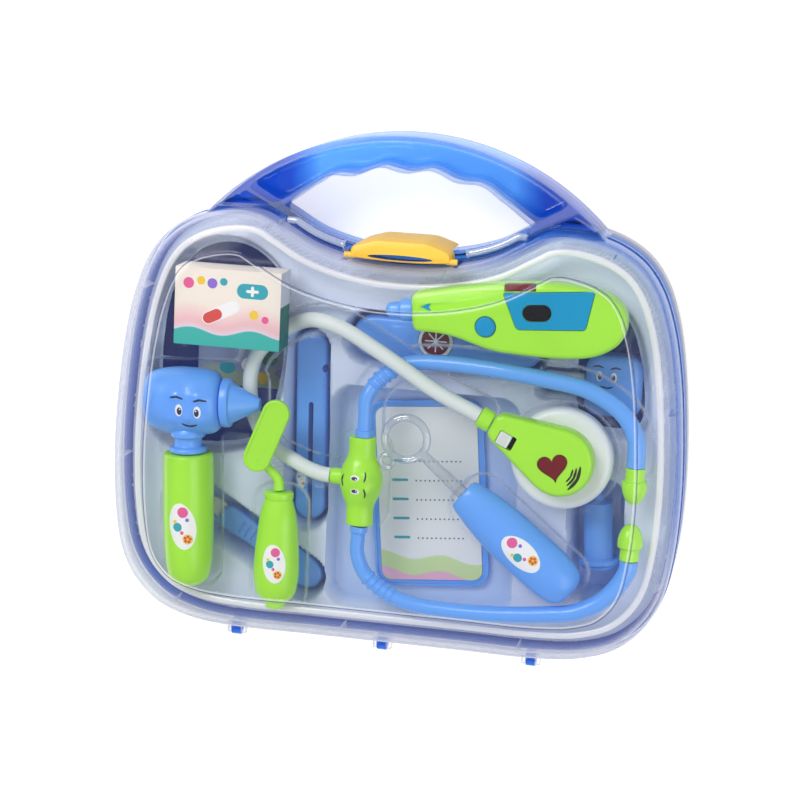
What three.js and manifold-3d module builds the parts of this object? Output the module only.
// A toy doctor's case of clear and blue plastic, lying on its back, with its toy tools in two formed trays.
// Millimetres, +Z up out of the lid, +X to the right and +Y towards the handle.
// The origin is on the flat back face, in the middle of the case.
import * as THREE from "three";
import { mergeVertices } from "three/addons/utils/BufferGeometryUtils.js";
import Module from "manifold-3d";

const wasm = await Module();
wasm.setup();

// Driving sizes of the case
const caseHalfWidth = 137;
const caseHalfHeight = 116;
const humpHeight = 88.3;
const baseDepth = 30;
const lidDepth = 29.7;
const partingGap = 0.3;
const baseWall = 1.8;
const lidWall = 1.6;
const rimWall = 3.2;
const fit = 0.3;
const overrun = 2;
const caseSamples = 40;

// The right half of the outline, from the dip at the top to the middle of the bottom edge: x as a share of
// the half width, y as a share of the hump height above the middle and of the half height below it
const outlineShares = [
  [0, 0.752], [0.161, 0.772], [0.307, 0.834], [0.409, 0.92], [0.485, 0.983], [0.562, 1],
  [0.657, 0.981], [0.748, 0.933], [0.828, 0.849], [0.891, 0.716], [0.938, 0.521], [0.968, 0.294],
  [0.988, 0.023], [1, -0.259], [0.991, -0.517], [0.962, -0.707], [0.909, -0.828], [0.818, -0.927],
  [0.693, -0.981], [0.54, -1], [0.27, -1], [0, -1],
];

// Heights that the shells and trays share
const lidFoot = baseDepth + partingGap;
const lidTop = lidFoot + lidDepth;
const toolRise = 13.9;
const toolAxis = lidFoot + toolRise;
const ledgeDrop = 2.1;
const ledgeTop = baseDepth - ledgeDrop;
const trayPlane = ledgeTop + fit;

// Helpers

// A closed geometry as a solid, its faces turned outwards.
function solid(geometry) {
  const flat = geometry.index ? geometry.toNonIndexed() : geometry.clone();
  flat.deleteAttribute("normal");
  flat.deleteAttribute("uv");
  const merged = mergeVertices(flat, 1e-4);
  const make = (turned) => {
    const triVerts = new Uint32Array(merged.index.array);
    if (turned) triVerts.reverse();
    const vertProperties = new Float32Array(merged.attributes.position.array);
    return new wasm.Manifold(new wasm.Mesh({ numProp: 3, vertProperties, triVerts }));
  };
  const first = make(false);
  return first.volume() < 0 ? make(true) : first;
}

// A solid as a geometry with flat shading.
function geometryOf(shape) {
  const mesh = shape.getMesh();
  const position = new Float32Array(mesh.numVert * 3);
  for (let i = 0; i < mesh.numVert; i++) {
    position.set(mesh.vertProperties.subarray(i * mesh.numProp, i * mesh.numProp + 3), i * 3);
  }
  const geometry = new THREE.BufferGeometry();
  geometry.setAttribute("position", new THREE.BufferAttribute(position, 3));
  geometry.setIndex(new THREE.BufferAttribute(new Uint32Array(mesh.triVerts), 1));
  const flat = geometry.toNonIndexed();
  flat.computeVertexNormals();
  return flat;
}

const join = (first, ...rest) => rest.reduce((whole, piece) => whole.add(piece), first);
const cut = (first, ...rest) => rest.reduce((whole, piece) => whole.subtract(piece), first);

// A closed body through a stack of rings with the same number of points, capped at both ends.
function loft(rings) {
  const count = rings[0].length;
  const position = rings.flat().flatMap((p) => [p.x, p.y, p.z]);
  const index = [];
  for (let k = 0; k + 1 < rings.length; k++) {
    for (let i = 0; i < count; i++) {
      const a = k * count + i;
      const b = k * count + ((i + 1) % count);
      index.push(a, b, b + count, a, b + count, a + count);
    }
  }
  const capAt = (k, turned) => {
    const ring = rings[k];
    const flat = flatten(ring);
    const clockwise = THREE.ShapeUtils.isClockWise(flat);
    for (const [a, b, c] of THREE.ShapeUtils.triangulateShape(flat, [])) {
      const face = turned !== clockwise ? [a, c, b] : [a, b, c];
      index.push(...face.map((i) => k * count + i));
    }
  };
  capAt(0, true);
  capAt(rings.length - 1, false);
  const geometry = new THREE.BufferGeometry();
  geometry.setAttribute("position", new THREE.Float32BufferAttribute(position, 3));
  geometry.setIndex(index);
  return geometry;
}

// The points of a flat ring in a frame of its own plane.
function flatten(ring) {
  const normal = new THREE.Vector3();
  ring.forEach((p, i) => normal.add(new THREE.Vector3().crossVectors(p, ring[(i + 1) % ring.length])));
  normal.normalize();
  const across = Math.abs(normal.z) > 0.5 ? new THREE.Vector3(1, 0, 0) : new THREE.Vector3(0, 0, 1);
  const u = across.sub(normal.clone().multiplyScalar(across.dot(normal))).normalize();
  const v = new THREE.Vector3().crossVectors(normal, u);
  return ring.map((p) => new THREE.Vector2(p.dot(u), p.dot(v)));
}

// Moves each point of a closed flat outline inwards, or outwards where the distance is negative.
function inset(points, distance) {
  const count = points.length;
  const sign = THREE.ShapeUtils.isClockWise(points) ? -1 : 1;
  return points.map((p, i) => {
    const before = points[(i + count - 1) % count];
    const after = points[(i + 1) % count];
    const along = new THREE.Vector2().subVectors(after, before).normalize();
    return new THREE.Vector2(p.x - sign * along.y * distance, p.y + sign * along.x * distance);
  });
}

const raise = (points, z) => points.map((p) => new THREE.Vector3(p.x, p.y, z));
const prism = (points, low, high) => solid(loft([raise(points, low), raise(points, high)]));

// A box between two corners.
function block(low, high) {
  const size = low.map((value, i) => high[i] - value);
  const geometry = new THREE.BoxGeometry(...size);
  return geometry.translate(...low.map((value, i) => value + size[i] / 2));
}

// A turned body: the profile is a list of radius and height shares, and starts and ends on the axis.
function turned(profileShares, radius, length, segments) {
  const points = profileShares.map(([r, y]) => new THREE.Vector2(r * radius, y * length));
  return new THREE.LatheGeometry(points, segments);
}

// A turned body flattened across its thickness.
function turnedFlat(profileShares, radius, length, segments, flatShare) {
  return turned(profileShares, radius, length, segments).scale(1, 1, flatShare);
}

// A bar with round ends from one point to another.
function stadium(from, to, radius, steps = 5) {
  const angle = Math.atan2(to.y - from.y, to.x - from.x);
  const arc = (centre, start) =>
    Array.from({ length: steps + 1 }, (_, i) => {
      const a = start + (Math.PI * i) / steps;
      return new THREE.Vector2(centre.x + radius * Math.cos(a), centre.y + radius * Math.sin(a));
    });
  return [...arc(to, angle - Math.PI / 2), ...arc(from, angle + Math.PI / 2)];
}

// A rectangle with round corners about a centre.
function roundedRectangle(centre, width, height, radius, steps = 2) {
  const corners = [[1, 1], [-1, 1], [-1, -1], [1, -1]];
  return corners.flatMap(([sx, sy], k) =>
    Array.from({ length: steps + 1 }, (_, i) => {
      const a = ((k + i / steps) * Math.PI) / 2;
      const x = centre.x + sx * (width / 2 - radius) + radius * Math.cos(a);
      const y = centre.y + sy * (height / 2 - radius) + radius * Math.sin(a);
      return new THREE.Vector2(x, y);
    }),
  );
}

function circle(centre, radius, segments) {
  return Array.from({ length: segments }, (_, i) => {
    const a = (2 * Math.PI * i) / segments;
    return new THREE.Vector2(centre.x + radius * Math.cos(a), centre.y + radius * Math.sin(a));
  });
}

// Turns an outline about the origin of its tool and moves it to the tool's place.
function laid(points, place, turn) {
  const c = Math.cos(turn);
  const s = Math.sin(turn);
  return points.map((p) => new THREE.Vector2(place.x + c * p.x - s * p.y, place.y + s * p.x + c * p.y));
}

// A tube along a curve whose radius changes: stations are shares of the curve's length.
function taperedTube(curve, stations, radiusAt, sides) {
  let side = null;
  const rings = stations.map((t) => {
    const centre = curve.getPointAt(t);
    const along = curve.getTangentAt(t);
    side = side ?? new THREE.Vector3(0, 0, 1);
    side = side.clone().sub(along.clone().multiplyScalar(side.dot(along))).normalize();
    const other = new THREE.Vector3().crossVectors(along, side);
    return Array.from({ length: sides }, (_, i) => {
      const a = (2 * Math.PI * i) / sides;
      return centre
        .clone()
        .addScaledVector(side, radiusAt(t) * Math.cos(a))
        .addScaledVector(other, radiusAt(t) * Math.sin(a));
    });
  });
  return loft(rings);
}

const evenStations = (count) => Array.from({ length: count + 1 }, (_, i) => i / count);
const point = (x, y) => new THREE.Vector2(x, y);
const placeOf = ([sx, sy]) => point(sx * caseHalfWidth, sy * caseHalfHeight);
const degrees = THREE.MathUtils.degToRad;

// Materials
const finish = (color, roughness, more = {}) =>
  new THREE.MeshStandardMaterial({ color, roughness, metalness: 0, flatShading: true, ...more });
const blueClear = finish(0x3f86ee, 0.12, { transparent: true, opacity: 0.6 });
const clear = finish(0xe8eefa, 0.08, { transparent: true, opacity: 0.25 });
const film = finish(0xdfe8f2, 0.15, { transparent: true, opacity: 0.3 });
const trayWhite = finish(0xc6d4ec, 0.4);
const yellow = finish(0xfdc94f, 0.35);
const green = finish(0xa4ec50, 0.35);
const toolBlue = finish(0x6ea6f5, 0.35);
const white = finish(0xe4e9e6, 0.45);
const panelBlue = finish(0x0a92cf, 0.3);
const black = finish(0x0b0b0c, 0.2);
const darkRed = finish(0x701a22, 0.25);
const paper = finish(0xf2efe6, 0.8);

// The case's outline

function outlineCurve() {
  const spot = ([sx, sy], side) => {
    const reach = sy > 0 ? humpHeight : caseHalfHeight;
    return new THREE.Vector3(side * sx * caseHalfWidth, sy * reach, 0);
  };
  const right = outlineShares.map((share) => spot(share, 1));
  const left = outlineShares.slice(1, -1).map((share) => spot(share, -1));
  return new THREE.CatmullRomCurve3([...right, ...left.reverse()].reverse(), true, "centripetal");
}

const outline = outlineCurve()
  .getSpacedPoints(caseSamples)
  .slice(0, caseSamples)
  .map((p) => point(p.x, p.y));

// A body whose rings are the case's outline, each moved in by its own distance.
const caseBody = (steps) => solid(loft(steps.map(([z, distance]) => raise(inset(outline, distance), z))));

// The height of the case's top edge above a place on the X axis.
function topEdgeAt(x) {
  const curve = outlineShares.slice(0, 6).map(([sx, sy]) => [sx * caseHalfWidth, sy * humpHeight]);
  const place = Math.abs(x);
  const next = curve.findIndex(([cx]) => cx > place);
  const [x0, y0] = curve[next - 1];
  const [x1, y1] = curve[next];
  return y0 + ((y1 - y0) * (place - x0)) / (x1 - x0);
}

// Handle

const handleTop = 126.8;
const handleFootReach = 15;
const handleFootShare = 0.69;
const handleDepth = 34;
const handleWall = 1.8;
const handleBevel = 3.5;
const gripDepth = 16.2;
const gripRadius = 108;
const fingerShare = 0.4;
const scallopDepth = 1.3;
const openingCornerShare = 0.7;
const barWidth = 5.4;
const webPastHump = 0.5;
const webWidth = 17.5;
const shelfHeight = 2.8;
const beadRadius = 1.9;
const beadGap = 4.2;
const beadSides = 6;
const handleSegments = 14;
const gripSteps = 16;
const barSteps = 8;

// The handle stands over the two humps of the outline, and the opening lies between its end webs
const humpShare = Math.max(...outlineShares.map(([, sy]) => sy));
const humpCrownX = outlineShares.find(([, sy]) => sy === humpShare)[0] * caseHalfWidth;
const handleHalfSpan = humpCrownX + handleFootReach;
const webHalfSpan = humpCrownX + webPastHump;
const openingHalfWidth = webHalfSpan - webWidth;
const fingerPitch = openingHalfWidth * fingerShare;
const handleFootY = handleTop * handleFootShare;
const archRadius = (handleHalfSpan ** 2 + (handleTop - handleFootY) ** 2) / (2 * (handleTop - handleFootY));
const archAt = (x, drop = 0) =>
  handleTop - archRadius + Math.sqrt((archRadius - drop) ** 2 - x ** 2);
const gripAt = (x, drop = 0) => {
  const crown = handleTop - gripDepth;
  const arc = crown - gripRadius + Math.sqrt(gripRadius ** 2 - x ** 2);
  return arc - scallopDepth * Math.cos((2 * Math.PI * x) / fingerPitch) + drop;
};
const openingCornerY = handleTop * openingCornerShare;
const fingerEnd = 2 * fingerPitch;
const barAt = (x) => topEdgeAt(x) + barWidth;

// The opening: finger grooves along the top, a dip along the bottom and a corner at each end.
function openingOutline() {
  const top = Array.from({ length: gripSteps + 1 }, (_, i) => {
    const x = fingerEnd * (1 - (2 * i) / gripSteps);
    return point(x, gripAt(x));
  });
  const bottomEnd = openingHalfWidth - barWidth;
  const bottom = Array.from({ length: barSteps + 1 }, (_, i) => {
    const x = bottomEnd * ((2 * i) / barSteps - 1);
    return point(x, barAt(x));
  });
  const left = point(-openingHalfWidth, openingCornerY);
  const right = point(openingHalfWidth, openingCornerY);
  return [right, ...top, left, ...bottom];
}

// The whole handle, both halves in one, with rounded edges.
function handleBlank() {
  const arch = Array.from({ length: handleSegments + 1 }, (_, i) => {
    const x = handleHalfSpan * (1 - (2 * i) / handleSegments);
    return point(x, archAt(x));
  });
  const seat = humpHeight / 2;
  const foot = [point(-handleHalfSpan, seat), point(handleHalfSpan, seat)];
  const shape = new THREE.Shape([...arch, ...foot]);
  shape.holes.push(new THREE.Path(openingOutline()));
  const geometry = new THREE.ExtrudeGeometry(shape, {
    depth: handleDepth - 2 * handleBevel,
    bevelThickness: handleBevel,
    bevelSize: handleBevel,
    bevelOffset: -handleBevel,
    bevelSegments: 1,
  });
  return solid(geometry.translate(0, 0, lidFoot - handleDepth / 2 + handleBevel));
}

// The hollow of the grip between the two end webs, seen from above.
function gripHollow() {
  const end = webHalfSpan - handleWall;
  const inner = openingHalfWidth + handleWall;
  const top = Array.from({ length: barSteps + 1 }, (_, i) => {
    const x = end * (1 - (2 * i) / barSteps);
    return point(x, archAt(x, handleWall) - handleWall / 2);
  });
  const low = Array.from({ length: gripSteps + 1 }, (_, i) => {
    const x = fingerEnd * ((2 * i) / gripSteps - 1);
    return point(x, gripAt(x, handleWall));
  });
  const corner = openingCornerY + handleWall;
  return [...top, point(-inner, corner), ...low, point(inner, corner)];
}

// The three-cornered hollow outside each web.
function footHollow(side) {
  const wall = handleWall;
  const outer = handleHalfSpan - wall;
  const points = [
    point(side * (webHalfSpan + wall), archAt(webHalfSpan + wall, wall) - wall),
    point(side * (openingHalfWidth + barWidth + wall), humpHeight + fit),
    point(side * outer, humpHeight + fit),
  ];
  return side > 0 ? points : points.reverse();
}

// Base shell

const floorWall = 2;
const lipHeight = 2.5;
const lipInset = 2.1;
const ledgeThickness = 1.5;
const ledgeReach = 7.2;
const hookPitchShare = 0.533;
const hookPitch = caseHalfWidth * hookPitchShare;
const hookOffset = -3;
const hookWidth = 4.4;
const hookRadius = 3.4;
const hookStandoff = 4.6;
const hookSlope = degrees(30);
const gussetHeight = 17;
const pinRadius = 1.2;
const pinClearance = 0.3;
const earGap = 0.4;
const earThickness = 1.8;
const earRadius = 2.8;
const roundSegments = 8;

// Height and inset of the bend between the base's back face and its wall
const baseFootSteps = [[0, 5], [1.2, 2.2], [5, 0.7]];

const hingeY = -caseHalfHeight - hookStandoff;
const hingeZ = baseDepth + partingGap / 2;
const hookPlaces = [-1, 0, 1].map((k) => hookOffset + k * hookPitch);

// A short bar along X at the hinge line.
function hingeBar(x, width, radius) {
  const bar = new THREE.CylinderGeometry(radius, radius, width, roundSegments);
  return solid(bar.rotateZ(Math.PI / 2).translate(x, hingeY, hingeZ));
}

// A hook that reaches out from the bottom wall round the lid's hinge pin, with a gusset below it.
function hingeHook(x) {
  const root = -caseHalfHeight + baseWall / 2;
  const neck = [
    point(root, hingeZ - fit),
    point(hingeY, hingeZ - fit),
    point(hingeY - hookRadius * Math.cos(hookSlope), hingeZ - hookRadius * Math.sin(hookSlope)),
    point(root, hingeZ - gussetHeight),
  ];
  const plate = new THREE.ExtrudeGeometry(new THREE.Shape(neck), { depth: hookWidth, bevelEnabled: false });
  const turn = new THREE.Matrix4().makeBasis(
    new THREE.Vector3(0, 1, 0),
    new THREE.Vector3(0, 0, 1),
    new THREE.Vector3(1, 0, 0),
  );
  plate.applyMatrix4(turn).translate(x - hookWidth / 2, 0, 0);
  return join(hingeBar(x, hookWidth, hookRadius), solid(plate));
}

const hingeBore = (x) => hingeBar(x, hookWidth + overrun, pinRadius + pinClearance);

function baseShell() {
  const [foot, bend, wall] = baseFootSteps;
  const body = caseBody([
    foot, bend, wall, [baseDepth, 0], [baseDepth, lipInset], [baseDepth + lipHeight, lipInset],
  ]);
  const cavity = caseBody([
    [floorWall, foot[1] + baseWall], [floorWall + baseWall, bend[1] + baseWall],
    [ledgeTop - ledgeThickness - overrun, baseWall],
    [ledgeTop - ledgeThickness, ledgeReach], [ledgeTop, ledgeReach], [ledgeTop, rimWall],
    [baseDepth + lipHeight + overrun, rimWall],
  ]);
  const far = 2 * caseHalfWidth;
  const below = solid(block([-far, -far, 0], [far, far, baseDepth]));
  const half = handleBlank().intersect(below);
  const back = lidFoot - handleDepth / 2 + handleWall;
  const hollows = [gripHollow(), footHollow(1), footHollow(-1)].map((p) => prism(p, back, baseDepth + overrun));
  const bar = baseBarHollow(back);
  const hooks = hookPlaces.map(hingeHook);
  const bores = hookPlaces.map(hingeBore);
  return cut(join(body, cut(half, ...hollows, bar), ...hooks), cavity, ...bores);
}

// The trough between the case's top edge and the opening, in the base's half of the frame.
function baseBarHollow(back) {
  const end = openingHalfWidth - 2 * barWidth;
  const slack = (barWidth - handleWall) / 3;
  const low = Array.from({ length: barSteps + 1 }, (_, i) => {
    const x = end * ((2 * i) / barSteps - 1);
    return point(x, topEdgeAt(x) + slack);
  });
  const high = low.map((p) => point(p.x, barAt(p.x) - handleWall)).reverse();
  return prism([...low, ...high], back, baseDepth + overrun);
}

// Lid shell

const lidCoamingHeight = 3.7;
const lidCoamingStep = 0.9;
const panelInset = 20.5;
const panelRise = 1.1;
const lidRibs = 10;
const lidRibThickness = 1;
const lidRibReach = 4;
const lidRibFoot = 3;
const lidRibHeight = 17;
const latchHalfWidth = 24.8;
const latchEarThickness = 2.2;
const latchPivotAboveEdge = 3.6;
const latchPivotRise = 14.5;
const trunnionRadius = 1.4;
const trunnionReach = 1.9;

const latchPivotY = topEdgeAt(0) + latchPivotAboveEdge;
const latchPivotZ = lidFoot + latchPivotRise;

// The lid's height above its foot and how far in each ring lies, as shares of the depth and the panel's inset
const domeShares = [[0.56, 0.09], [0.74, 0.22], [0.87, 0.47], [0.963, 1]];

// How much of the wall's thickness lies below each of those rings, measured straight down
const domeWallShares = [0.2, 0.4, 0.6, 0.8];

function lidShell() {
  const coaming = lidFoot + lidCoamingHeight;
  const dome = domeShares.map(([h, s]) => [lidFoot + h * lidDepth, s * panelInset]);
  const outer = caseBody([
    [lidFoot, 0], [coaming, 0], [coaming, lidCoamingStep], ...dome, [lidTop, panelInset + panelRise],
  ]);
  const inner = dome.map(([z, distance], i) => [z - lidWall * domeWallShares[i], distance + lidWall]);
  const last = inner[inner.length - 1];
  const cavity = caseBody([
    [lidFoot - overrun, lidWall], [coaming, lidWall], ...inner, [lidTop - lidWall, last[1] + panelRise],
  ]);
  const shell = join(outer, lidHandle(), ...hingeEars(), ...latchEars());
  return join(cut(shell, cavity, ...latchBores()), wallRibs().intersect(outer));
}

// The lid's half of the handle, its shelf below the opening and the bead on the shelf's edge.
function lidHandle() {
  const far = 2 * caseHalfWidth;
  const above = solid(block([-far, -far, lidFoot], [far, far, 2 * lidTop]));
  const face = lidFoot + handleDepth / 2 - handleWall;
  const hollows = [gripHollow(), footHollow(1), footHollow(-1)].map((p) => prism(p, lidFoot - overrun, face));
  const end = openingHalfWidth - handleWall;
  const shelf = lidFoot + shelfHeight;
  const clearing = solid(block([-end, 0, shelf], [end, openingCornerY - fit, 2 * lidTop]));
  return join(cut(handleBlank().intersect(above), ...hollows, clearing), bead(1), bead(-1));
}

// The round bead along the shelf's edge, on one side of the latch.
function bead(side) {
  const z = lidFoot + shelfHeight;
  const start = latchHalfWidth + beadGap;
  const end = openingHalfWidth - handleWall;
  const steps = 5;
  const places = Array.from({ length: steps + 1 }, (_, i) => start + ((end - start) * i) / steps);
  const curve = new THREE.CatmullRomCurve3(
    places.map((x) => new THREE.Vector3(side * x, barAt(Math.min(x, end - barWidth)) - beadRadius - fit, z)),
  );
  return solid(taperedTube(curve, evenStations(steps), () => beadRadius, beadSides));
}

// Two ears with a pin between them for each hook.
function hingeEars() {
  return hookPlaces.flatMap((x) => {
    const offset = hookWidth / 2 + earGap + earThickness / 2;
    const root = -caseHalfHeight + lidWall / 2;
    const ears = [-1, 1].map((side) => {
      const low = [x + side * offset - earThickness / 2, hingeY, hingeZ + fit];
      const high = [x + side * offset + earThickness / 2, root, hingeZ + earRadius];
      return join(hingeBar(x + side * offset, earThickness, earRadius), solid(block(low, high)));
    });
    const pin = hingeBar(x, hookWidth + 2 * earGap + earThickness, pinRadius);
    return [...ears, pin];
  });
}

// Two ears on the shelf that hold the latch's trunnions.
function latchEars() {
  return [-1, 1].map((side) => {
    const near = side * (latchHalfWidth + fit + latchEarThickness / 2);
    const x = [near - latchEarThickness / 2, near + latchEarThickness / 2];
    const foot = topEdgeAt(near) - overrun;
    const top = latchPivotZ + trunnionRadius + latchEarThickness / 2;
    const back = latchPivotY + trunnionRadius + latchEarThickness / 2;
    return solid(block([x[0], foot, lidFoot + fit], [x[1], back, top]));
  });
}

function latchBar(x, width, radius) {
  const bar = new THREE.CylinderGeometry(radius, radius, width, roundSegments);
  return solid(bar.rotateZ(Math.PI / 2).translate(x, latchPivotY, latchPivotZ));
}

function latchBores() {
  return [-1, 1].map((side) => {
    const x = side * (latchHalfWidth + fit + latchEarThickness / 2);
    return latchBar(x, latchEarThickness + overrun, trunnionRadius + pinClearance);
  });
}

// Thin upright ribs that reach from the lid's wall inwards.
function wallRibs() {
  const ribs = Array.from({ length: lidRibs }, (_, i) => {
    const at = Math.round(((i + 0.5) * caseSamples) / lidRibs) % caseSamples;
    const here = outline[at];
    const next = outline[(at + 1) % caseSamples];
    const turn = Math.atan2(next.y - here.y, next.x - here.x);
    const rib = new THREE.BoxGeometry(lidRibThickness, lidRibReach, lidRibHeight);
    const z = lidFoot + lidRibFoot + lidRibHeight / 2;
    const inwards = lidWall / 2 + lidRibReach / 2;
    return solid(rib.translate(0, inwards, 0).rotateZ(turn).translate(here.x, here.y, z));
  });
  return join(...ribs);
}

// Latch

const latchWall = 2.2;
const latchFront = lidFoot + handleDepth / 2 + fit;
const latchSkirt = 12.3;
const latchBack = lidFoot - latchSkirt;
const latchCrownRise = 8.4;
const latchCrown = latchPivotY + latchCrownRise;
const latchShoulderDrop = 1.6;
const latchLipDrop = 2.2;
const latchLipY = latchPivotY - latchLipDrop;
const latchFlatShare = 0.42;
const latchSlotHalfWidth = 14;
const latchSlotHeight = 2;
const latchBarClearance = 0.7;

function latchOutline(distance) {
  const half = latchHalfWidth - distance;
  const crown = latchCrown - distance;
  const shoulder = crown - latchShoulderDrop;
  const lip = Array.from({ length: 7 }, (_, i) => {
    const x = half * ((2 * i) / 6 - 1);
    return point(x, latchLipY + (topEdgeAt(x) - topEdgeAt(0)) / 2);
  });
  const flat = half * latchFlatShare;
  return [...lip, point(half, shoulder), point(flat, crown), point(-flat, crown), point(-half, shoulder)];
}

// A hood over the top edge: front plate with a lens-shaped slot, end cheeks and a skirt reaching behind.
function latch() {
  const shape = new THREE.Shape(latchOutline(latchWall / 2));
  const bevel = latchWall / 2;
  const depth = latchFront - latchBack - bevel;
  const hood = new THREE.ExtrudeGeometry(shape, {
    depth,
    bevelThickness: bevel,
    bevelSize: bevel,
    bevelSegments: 1,
  });
  const blank = solid(hood.translate(0, 0, latchFront - bevel - depth));
  const half = latchHalfWidth - latchWall;
  const crown = latchCrown - latchWall;
  const flat = half * latchFlatShare;
  const low = latchLipY - 2 * overrun;
  const inside = [
    point(-half, low), point(half, low), point(half, crown - latchShoulderDrop), point(flat, crown),
    point(-flat, crown), point(-half, crown - latchShoulderDrop),
  ];
  const hollow = prism(inside, 0, latchFront - latchWall);
  const far = 2 * latchHalfWidth;
  const cheekFoot = barAt(latchHalfWidth) + latchBarClearance;
  const under = solid(block([-far, 0, 0], [far, cheekFoot, lidFoot + shelfHeight + 2 * beadRadius]));
  const slot = latchSlot();
  const trunnions = [-1, 1].map((side) => {
    const width = latchWall + trunnionReach;
    return latchBar(side * (latchHalfWidth - latchWall + width / 2), width, trunnionRadius);
  });
  return join(cut(blank, hollow, under, slot), ...trunnions);
}

function latchSlot() {
  const steps = 8;
  const arc = (height) =>
    Array.from({ length: steps }, (_, i) => {
      const x = latchSlotHalfWidth * ((2 * i) / steps - 1);
      const bulge = Math.sqrt(1 - (x / latchSlotHalfWidth) ** 2);
      return point(x, latchPivotY + trunnionRadius + height * bulge);
    });
  const high = arc(latchSlotHeight / 2).map((p) => point(-p.x, p.y));
  return prism([...arc(-latchSlotHeight / 2), ...high], latchFront - 2 * latchWall, latchFront + overrun);
}

// The tools' places in the case: x as a share of its half width, y of its half height
const hubPlace = placeOf([-0.104, -0.323]);
const chestPlace = placeOf([0.586, -0.158]);
const thermometerPlace = placeOf([0.058, 0.401]);
const lensPlace = placeOf([0.254, -0.335]);
const cartonPlace = placeOf([-0.58, 0.358]);
const forcepsPlace = placeOf([-0.339, 0.241]);
const scalpelPlace = placeOf([-0.275, -0.83]);
const boardPlace = placeOf([0.104, -0.405]);
const gaugePlace = placeOf([0.146, 0.246]);
const hammerPlace = placeOf([0.73, 0.12]);
const syringePlace = placeOf([0.7, -0.37]);
const leafletPlace = placeOf([-0.62, 0.2]);

// Otoscope: the handle hangs down from the place, the head lies across above it

const otoscopeTurn = degrees(2);
const otoscopeHandleRadius = 12.2;
const otoscopeHandleLength = 65.5;
const otoscopeHeadRadius = 16.3;
const otoscopeHeadLength = 39;
const otoscopeHeadLeft = -22;
const otoscopeHeadRise = 25.2;
const otoscopeFlatShare = 0.8;
const neckRadius = 9;
const neckLength = 13;
const coneRadius = 11.8;
const coneLength = 18.5;
const otoscopeMargin = 18.9;
const otoscopeXShare = -0.727;

const otoscopeHandleShares = [
  [0, 0], [0.88, 0], [0.98, -0.012], [0.985, -0.04], [1, -0.28], [0.99, -0.62], [0.9, -0.84],
  [0.74, -0.96], [0.5, -1], [0, -1],
];
const otoscopeHeadShares = [
  [0, 0], [0.5, 0], [0.68, 0.05], [0.84, 0.14], [0.96, 0.3], [1, 0.5], [0.985, 0.76], [0.93, 0.91],
  [0.8, 0.97], [0.66, 1], [0, 1],
];
const neckShares = [
  [0, 0], [1, 0], [1, 0.16], [0.9, 0.22], [0.74, 0.24], [0.74, 0.58], [0.93, 0.62], [0.93, 0.8], [0.7, 1], [0, 1],
];
const coneShares = [
  [0, 0], [0.93, 0], [1, 0.05], [1, 0.2], [0.8, 0.24], [0.77, 0.3], [0.26, 0.97], [0.22, 1], [0.13, 1],
  [0.11, 0.7], [0, 0.7],
];

// The end of the handle keeps its distance from the case's bottom edge
const otoscopePlace = point(
  otoscopeXShare * caseHalfWidth, otoscopeMargin + otoscopeHandleLength - caseHalfHeight,
);

// A body turned along X instead of Y, flattened across its thickness.
const turnedAcross = (shares, radius, length, segments, flatShare) =>
  turnedFlat(shares, radius, length, segments, flatShare).rotateZ(-Math.PI / 2);

function otoscopeHead() {
  const drum = turnedAcross(
    otoscopeHeadShares, otoscopeHeadRadius, otoscopeHeadLength, 16, otoscopeFlatShare,
  ).translate(otoscopeHeadLeft, otoscopeHeadRise, 0);
  const neck = turned(neckShares, neckRadius, neckLength, 10).translate(0, fit, 0);
  return join(solid(drum), solid(neck));
}

const otoscopeHandle = () => turned(otoscopeHandleShares, otoscopeHandleRadius, otoscopeHandleLength, 14);

function otoscopeCone() {
  const x = otoscopeHeadLeft + otoscopeHeadLength + fit;
  const cone = turnedAcross(coneShares, coneRadius, coneLength, 12, otoscopeFlatShare);
  return cone.translate(x, otoscopeHeadRise, 0);
}

// Mouth mirror: the handle hangs down from the place, the neck and head rise from it

const mirrorHandleRadius = 11;
const mirrorHandleLength = 58;
const mirrorFlatShare = 0.8;
const mirrorHeadRadius = 6.7;
const mirrorHeadThickness = 3;
const mirrorHeadSpan = 23.7;
const mirrorHeadTurn = degrees(69);
const mirrorHeadX = -10.2;
const mirrorHeadY = 16.4;
const mirrorHeadRise = 3.4;
const mirrorNeckWidth = 5.4;
const mirrorSeatDepth = 0.6;
const mirrorSeatRim = 1.2;
const mirrorMargin = 11.6;
const mirrorXShare = -0.394;
const mirrorNeckBendShare = 0.125;
const mirrorNeckTaper = 1 / 3;

// The end of the handle keeps its distance from the case's bottom edge
const mirrorPlace = point(mirrorXShare * caseHalfWidth, mirrorMargin + mirrorHandleLength - caseHalfHeight);

const mirrorHandleShares = [
  [0, 0], [0.58, 0], [0.64, -0.01], [0.64, -0.06], [0.6, -0.07], [0.8, -0.2], [0.93, -0.42], [1, -0.62],
  [0.98, -0.76], [0.78, -0.91], [0.44, -0.92], [0.4, -1], [0, -1],
];

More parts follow.
